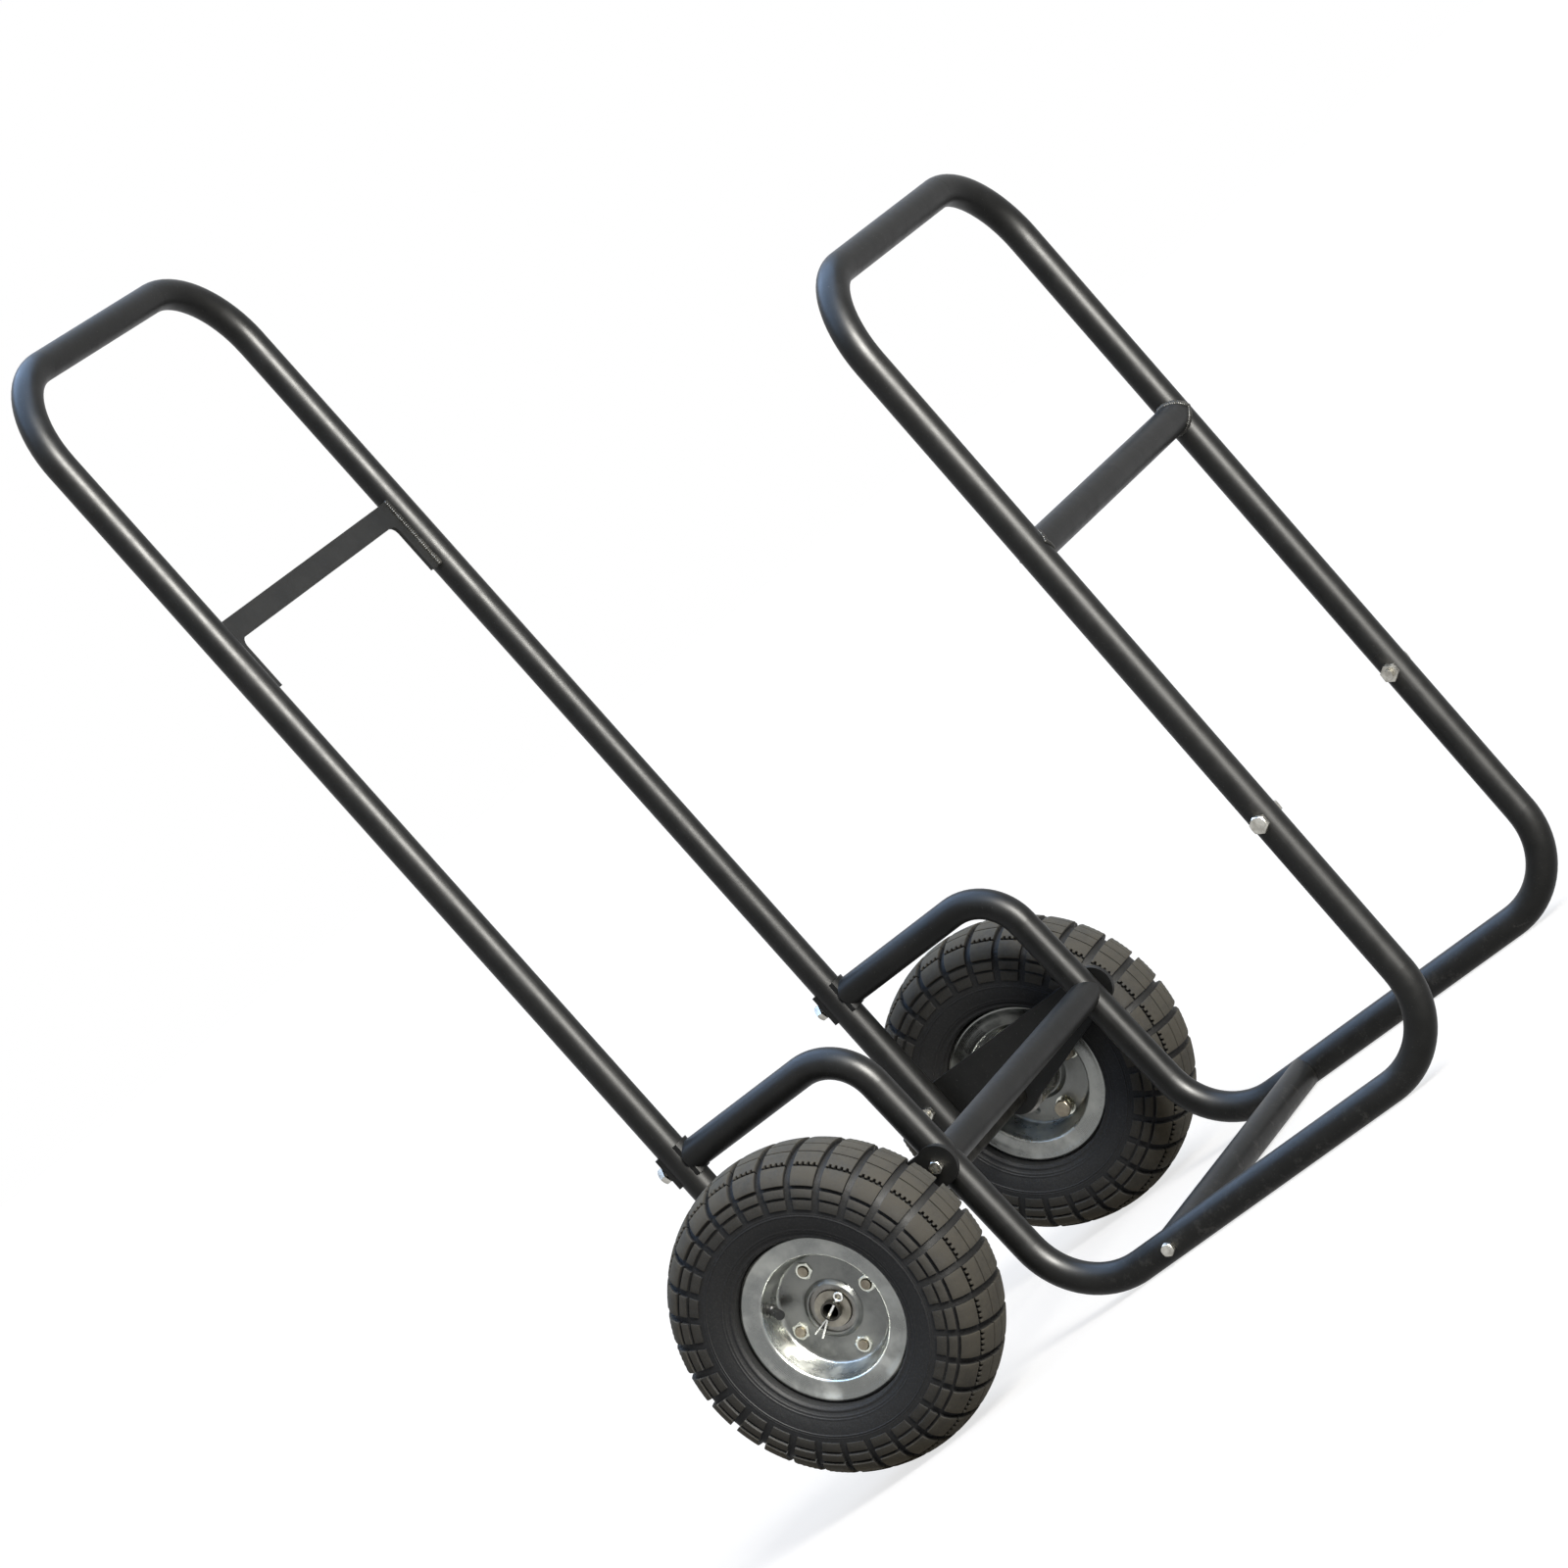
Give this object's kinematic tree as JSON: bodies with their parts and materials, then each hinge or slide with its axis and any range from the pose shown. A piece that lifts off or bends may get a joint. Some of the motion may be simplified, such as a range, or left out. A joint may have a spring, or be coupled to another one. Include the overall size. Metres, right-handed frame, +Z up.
{
  "type": "log cart",
  "caption": "Upright steel tube hand cart that holds and carries firewood between a bent push handle and a front hoop, on pneumatic wheels.",
  "frame": {"origin": "on the ground, under the middle of the cart's outline", "axes": "+Z up; -Y to the front, where the hoop is; +Y to the rear, where the person stands at the handle; +X to that person's left"},
  "size_m": [0.5688, 0.667, 1.1017],
  "materials": {
    "frame_paint": "satin charcoal black powder coat",
    "zinc_steel": "bright zinc plate",
    "rim_zinc": "zinc plated pressed sheet",
    "bearing_steel": "ground steel",
    "tyre_rubber": "matt black rubber, dusty on the tread",
    "tube_rubber": "matt black rubber",
    "plug_plastic": "matt black plastic"
  },
  "bodies": {
    "cart": {"handle_frame": "frame_paint", "handle_brace": "frame_paint", "post_end_plugs": "plug_plastic", "rack_hoop": "frame_paint", "rack_cross_tube": "frame_paint", "side_frame_left": "frame_paint", "side_frame_right": "frame_paint", "leg_cross_tube": "frame_paint", "ground_cross_tube": "frame_paint", "cross_tube_inserts": "zinc_steel", "rail_end_inserts": "zinc_steel", "axle_bracket_left": "frame_paint", "axle_bracket_right": "frame_paint", "axle": "zinc_steel", "axle_washers": "zinc_steel", "cotter_pins": "zinc_steel", "handle_saddles": "frame_paint", "handle_joint_bolts": "zinc_steel", "rack_joint_bolts": "zinc_steel", "rack_joint_nuts": "zinc_steel", "bracket_bolts": "zinc_steel", "bracket_nuts": "zinc_steel", "ground_cross_bolts": "zinc_steel"},
    "wheel_left": {"tyre_left": "tyre_rubber", "inner_tube_left": "tube_rubber", "rim_outer_left": "rim_zinc", "rim_inner_left": "rim_zinc", "hub_left": "zinc_steel", "bearing_races_left": "bearing_steel", "bearing_balls_left": "bearing_steel", "rim_bolts_left": "zinc_steel", "rim_nuts_left": "zinc_steel", "valve_stem_left": "tube_rubber", "valve_cap_left": "plug_plastic"},
    "wheel_right": {"tyre_right": "tyre_rubber", "inner_tube_right": "tube_rubber", "rim_outer_right": "rim_zinc", "rim_inner_right": "rim_zinc", "hub_right": "zinc_steel", "bearing_races_right": "bearing_steel", "bearing_balls_right": "bearing_steel", "rim_bolts_right": "zinc_steel", "rim_nuts_right": "zinc_steel", "valve_stem_right": "tube_rubber", "valve_cap_right": "plug_plastic"}
  },
  "joints": [
    {"name": "wheel_left_spin", "type": "hinge", "parent": "cart", "child": "wheel_left", "pos_m": [0.2415, 0.19905, 0.1345], "axis": [1, 0, 0], "continuous": true},
    {"name": "wheel_right_spin", "type": "hinge", "parent": "cart", "child": "wheel_right", "pos_m": [-0.2415, 0.19905, 0.1345], "axis": [1, 0, 0], "continuous": true}
  ]
}
